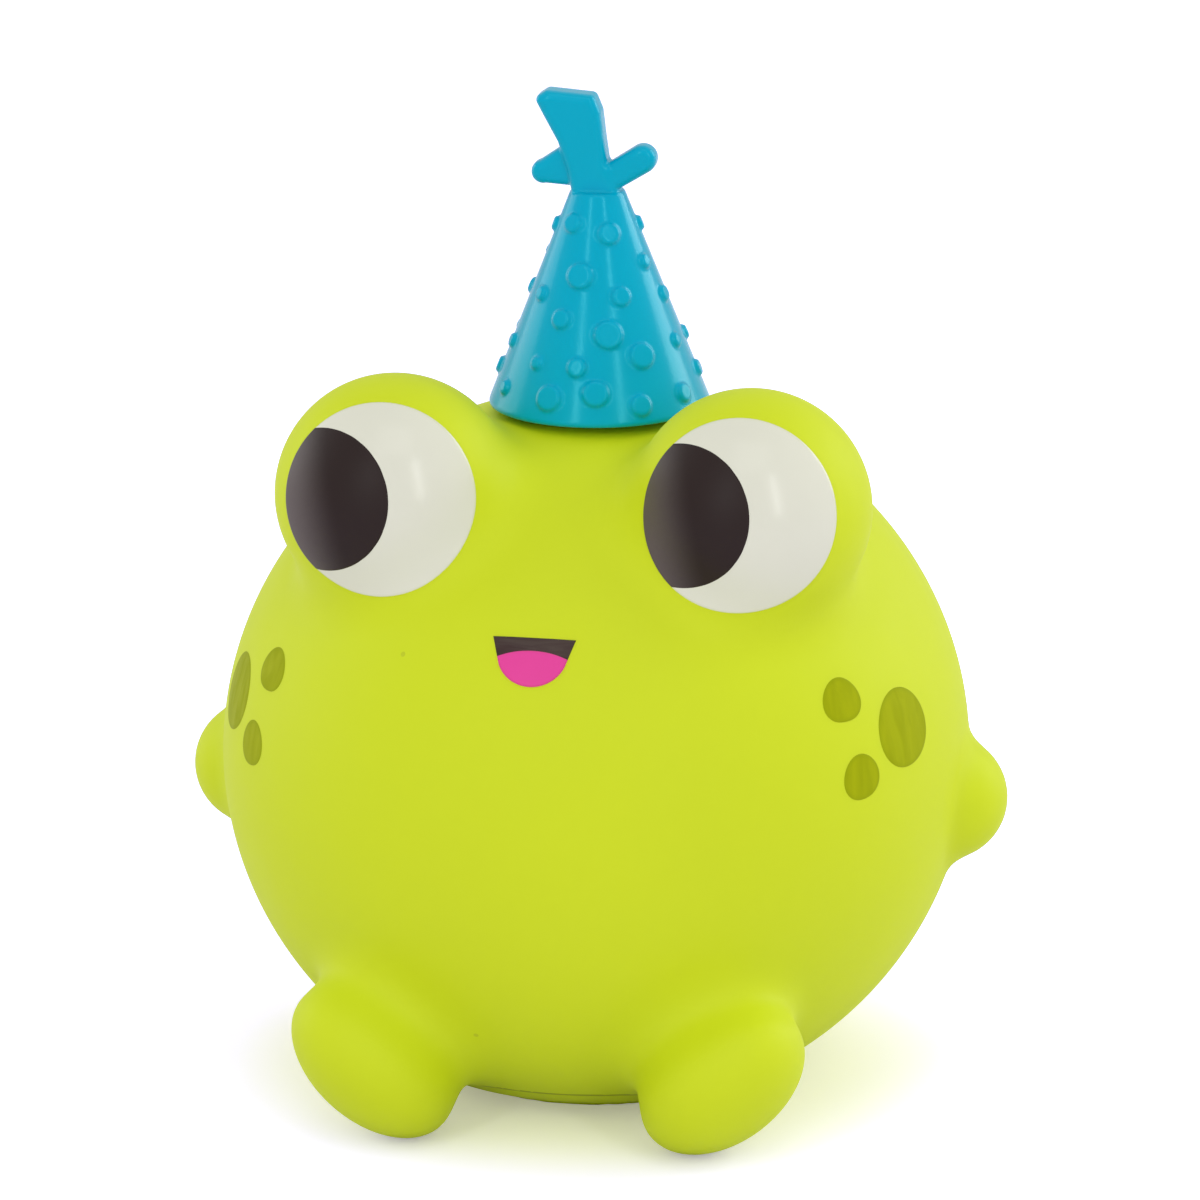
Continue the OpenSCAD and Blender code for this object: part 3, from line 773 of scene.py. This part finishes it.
tuftForm = {
    # leaning slab, drawn inside its rounded corners, sideways and up from the hat's neck
    "slab": [(-1.75, -0.6), (1.75, -0.6), (1.35, 1.2), (0.5, 3.0), (0.2, 5.2), (-0.1, 7.9), (-0.6, 9.15),
             (-4.8, 9.5), (-5.35, 9.15), (-4.6, 7.7), (-3.25, 5.2), (-2.25, 2.1)],
    "slabRound": 0.65,
    "slabThick": 3.4,
    # start, its radius, end, its radius, place in depth and thickness of the two round ends
    "fingers": [((1.6, 1.4), 1.4, (4.65, 3.3), 1.45, -0.1, 2.8),
                ((-2.3, 2.5), 2.35, (-5.5, 1.65), 1.2, 0.35, 2.6)],
    "edgeRound": 1.0,
    "fingerCrease": 0.25,
    "neckCrease": 0.15,
}
hatSlope = math.atan((hatForm["radius"] - hatForm["neckRadius"]) / hatForm["height"])


def hatRadiusAt(z):
    return hatForm["radius"] - z * math.tan(hatSlope)


def dotFrames():
    for half in (0, 180):
        for up, angle, size in hatForm["dots"]:
            z = up * hatForm["height"]
            way = outward(angle + half, 0)
            centre = way * hatRadiusAt(z) + (0, 0, z)
            normal = way * math.cos(hatSlope) + (0, 0, math.sin(hatSlope))
            yield centre, normal, size * hatForm["dotRadius"]


def polygonField(p, corners):
    d = np.full(p.shape[:-1], 1e9)
    sign = np.ones(p.shape[:-1])
    for a, b in zip(np.array(corners), np.roll(corners, 1, 0)):
        edge, off = b - a, p - a
        t = np.clip(off @ edge / (edge @ edge), 0, 1)
        d = np.minimum(d, lengths(off - t[..., None] * edge))
        above, below = p[..., 1] >= a[1], p[..., 1] < b[1]
        left = edge[0] * off[..., 1] > edge[1] * off[..., 0]
        flip = (above & below & left) | (~above & ~below & ~left)
        sign = np.where(flip, -sign, sign)
    return d * sign


def tuftField(p):
    flat, depth = p[..., [0, 2]] - (0, hatForm["height"]), p[..., 1]
    slab = polygonField(flat, tuftForm["slab"]) - tuftForm["slabRound"]
    d = softOverlap(slab, np.abs(depth) - tuftForm["slabThick"] / 2, tuftForm["edgeRound"])
    for start, startRadius, end, endRadius, back, thick in tuftForm["fingers"]:
        run = np.array(end) - start
        t = np.clip((flat - start) @ run / (run @ run), 0, 1)
        reach = lengths(flat - start - t[..., None] * run) - (startRadius + t * (endRadius - startRadius))
        finger = softOverlap(reach, np.abs(depth - back) - thick / 2, tuftForm["edgeRound"])
        d = softUnion(d, finger, tuftForm["fingerCrease"])
    return d


def hatField(p):
    z, out = p[..., 2], np.hypot(p[..., 0], p[..., 1])
    side = (out - hatRadiusAt(z)) * math.cos(hatSlope)
    d = softOverlap(side, -z, hatForm["rimRound"])
    d = softOverlap(d, z - hatForm["height"], hatForm["topRound"])
    for centre, normal, radius in dotFrames():
        off = p - centre
        near = lengths(off) < radius + hatForm["dotReach"]
        if near.any():
            rise = off[near] @ normal
            across = lengths(off[near] - rise[:, None] * normal)
            flank = (across - radius + rise * hatForm["dotFlare"]) * hatForm["dotSteep"]
            button = softOverlap(flank, rise - hatForm["dotProud"], hatForm["dotRound"])
            d[near] = softUnion(d[near], np.maximum(button, -rise - hatForm["dotProud"]), hatForm["dotRound"])
    d = softUnion(d, tuftField(p), tuftForm["neckCrease"])
    recess = discField(p, hatForm["recessRadius"], -pastSkin, hatForm["recess"], hatForm["recessRound"])
    d = softCut(d, recess, hatForm["underEdge"])
    roomRadius, roomTop = hatForm["plugRoom"]
    room = discField(p, roomRadius, -pastSkin, roomTop, hatForm["plugRoomRound"])
    return softCut(d, room, hatForm["underEdge"])


hatPoints, hatFaces = netOverField(hatField, *hatForm["room"], hatForm["cell"], hatForm["evenRounds"])
dottedHat = newPiece("dottedHat", hatOrigin + hatPoints @ hatAxes.T, hatFaces, hatVinyl)
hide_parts("party_hat")
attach(dottedHat, "hat")
print("hat:", len(hatPoints), "vertices")


# Pieces that keep their own solids: the plug under the hat and the squeaker

innerFinishes = {
    "hat_plug": plugPlastic,
    "squeaker_barrel": squeakerPlastic,
    "squeaker_cap": squeakerPlastic,
    "reed_block": squeakerPlastic,
    "reed_clamp": squeakerPlastic,
    "reed": reedFilm,
}
for node, finish in innerFinishes.items():
    solid = frame["nodes"][node]
    solid.data.materials.clear()
    solid.data.materials.append(finish)
print("inner pieces have their finishes")


# Stage: pale floor, soft light from both sides, and the camera

stageForm = {
    "floorSize": 6.0,
    "floorDrop": 0.02,                        # millimetres under the base, so the two don't flicker
    "openUnder": 0.0142,                      # metres round the middle where the paper is open
    "azimuth": 10.0,
    "elevation": 16.5,
    "distance": 0.9,
    "lens": 264.9,
    "turnUp": 0.9506,                         # degrees the camera looks above the body's middle
    "turnRight": 0.0227,
    "worldLight": 0.69,
    # how far the picture lifts the paper to white, near the toy and away from it, against the green bounce
    "nearLift": (0.285, 0.28, 0.215, 1),
    "farLift": (0.46, 0.4, 1.0, 1),
    "liftFrom": (0.024, 0.058),               # where the near part ends and the far part begins
}
softboxes = {
    # azimuth and elevation seen from the toy, distance, width, height, power in watts
    "leftWall": (-106, 16, 1.3, 0.8, 0.7, 2.6),
    "rightWall": (123, 24, 1.3, 0.6, 0.8, 5.0),
    "leftStrip": (-17, 27, 1.4, 0.11, 0.9, 2.1),
    "rightStrip": (35, 27, 1.4, 0.1, 0.9, 2.2),
    "frontTop": (10, 66, 1.4, 0.7, 0.7, 1.5),
}


def paperFloor():
    material = bpy.data.materials.new("floorPaper")
    material.use_nodes = True
    tree = material.node_tree
    shader = tree.nodes["Principled BSDF"]
    shader.inputs["Base Color"].default_value = (0.9, 0.88, 0.97, 1)
    shader.inputs["Specular IOR Level"].default_value = 0.1
    shader.inputs["Roughness"].default_value = 0.7
    # painted glow: the paper glows for camera rays only, less near the toy than away from it, and is tinted
    # against the green bounce
    ray = place(tree, "ShaderNodeLightPath")
    where = place(tree, "ShaderNodeTexCoord")
    far = place(tree, "ShaderNodeVectorMath", operation="LENGTH")
    start, end = stageForm["liftFrom"]
    share = place(tree, "ShaderNodeMapRange", {"From Min": start, "From Max": end},
                  interpolation_type="SMOOTHSTEP")
    lift = place(tree, "ShaderNodeMix", {"A": stageForm["nearLift"], "B": stageForm["farLift"]},
                 data_type="RGBA")
    wire = tree.links.new
    wire(where.outputs["Object"], far.inputs[0])
    wire(far.outputs["Value"], share.inputs["Value"])
    wire(share.outputs["Result"], lift.inputs["Factor"])
    wire(lift.outputs["Result"], shader.inputs["Emission Color"])
    wire(ray.outputs["Is Camera Ray"], shader.inputs["Emission Strength"])
    # from below the paper is clear, and open under the base, so that the squeaker shows
    sides = place(tree, "ShaderNodeNewGeometry")
    under = place(tree, "ShaderNodeMath", {1: stageForm["openUnder"]}, operation="LESS_THAN")
    either = place(tree, "ShaderNodeMath", operation="MAXIMUM")
    solid = place(tree, "ShaderNodeMath", {0: 1.0}, operation="SUBTRACT")
    wire(far.outputs["Value"], under.inputs[0])
    wire(under.outputs[0], either.inputs[0])
    wire(sides.outputs["Backfacing"], either.inputs[1])
    wire(either.outputs[0], solid.inputs[1])
    wire(solid.outputs[0], shader.inputs["Alpha"])
    half, drop = stageForm["floorSize"] / 2 / mm, -stageForm["floorDrop"]
    corners = np.array([(-half, -half, drop), (half, -half, drop), (half, half, drop), (-half, half, drop)])
    floor = newPiece("floor", corners, [(0, 1, 2, 3)], material)


def aimAt(thing, target):
    way = Vector(target) - thing.location
    thing.rotation_mode = "QUATERNION"
    thing.rotation_quaternion = way.to_track_quat("-Z", "Y")


def lightsAndWorld(middle):
    for name, (azimuth, elevation, distance, width, height, power) in softboxes.items():
        lamp = bpy.data.lights.new(name, "AREA")
        lamp.shape = "RECTANGLE"
        lamp.size, lamp.size_y = width, height
        lamp.energy = power
        box = bpy.data.objects.new(name, lamp)
        box.location = Vector(middle) + distance * Vector(outward(azimuth, elevation))
        aimAt(box, middle)
        bpy.context.scene.collection.objects.link(box)
    world = bpy.data.worlds.new("studio")
    world.use_nodes = True
    background = world.node_tree.nodes["Background"]
    background.inputs["Color"].default_value = (1, 1, 1, 1)
    background.inputs["Strength"].default_value = stageForm["worldLight"]
    bpy.context.scene.world = world


def photoCamera(middle):
    lens = bpy.data.cameras.new("photoCamera")
    lens.lens = stageForm["lens"]
    lens.sensor_width = 36.0
    lens.clip_start, lens.clip_end = 0.05, 30.0
    camera = bpy.data.objects.new("photoCamera", lens)
    back = Vector(outward(stageForm["azimuth"], stageForm["elevation"]))
    camera.location = Vector(middle) + back * stageForm["distance"]
    aimAt(camera, middle)
    tip = Matrix.Rotation(math.radians(stageForm["turnUp"]), 3, "X")
    swing = Matrix.Rotation(math.radians(-stageForm["turnRight"]), 3, "Y")
    camera.rotation_quaternion = camera.rotation_quaternion @ (swing @ tip).to_quaternion()
    bpy.context.scene.collection.objects.link(camera)
    bpy.context.scene.camera = camera


bodyMiddle = tuple(bodyForm["centre"] * mm)
paperFloor()
lightsAndWorld(bodyMiddle)
photoCamera(bodyMiddle)
bpy.context.scene.view_settings.view_transform = "Standard"
print("stage is set")
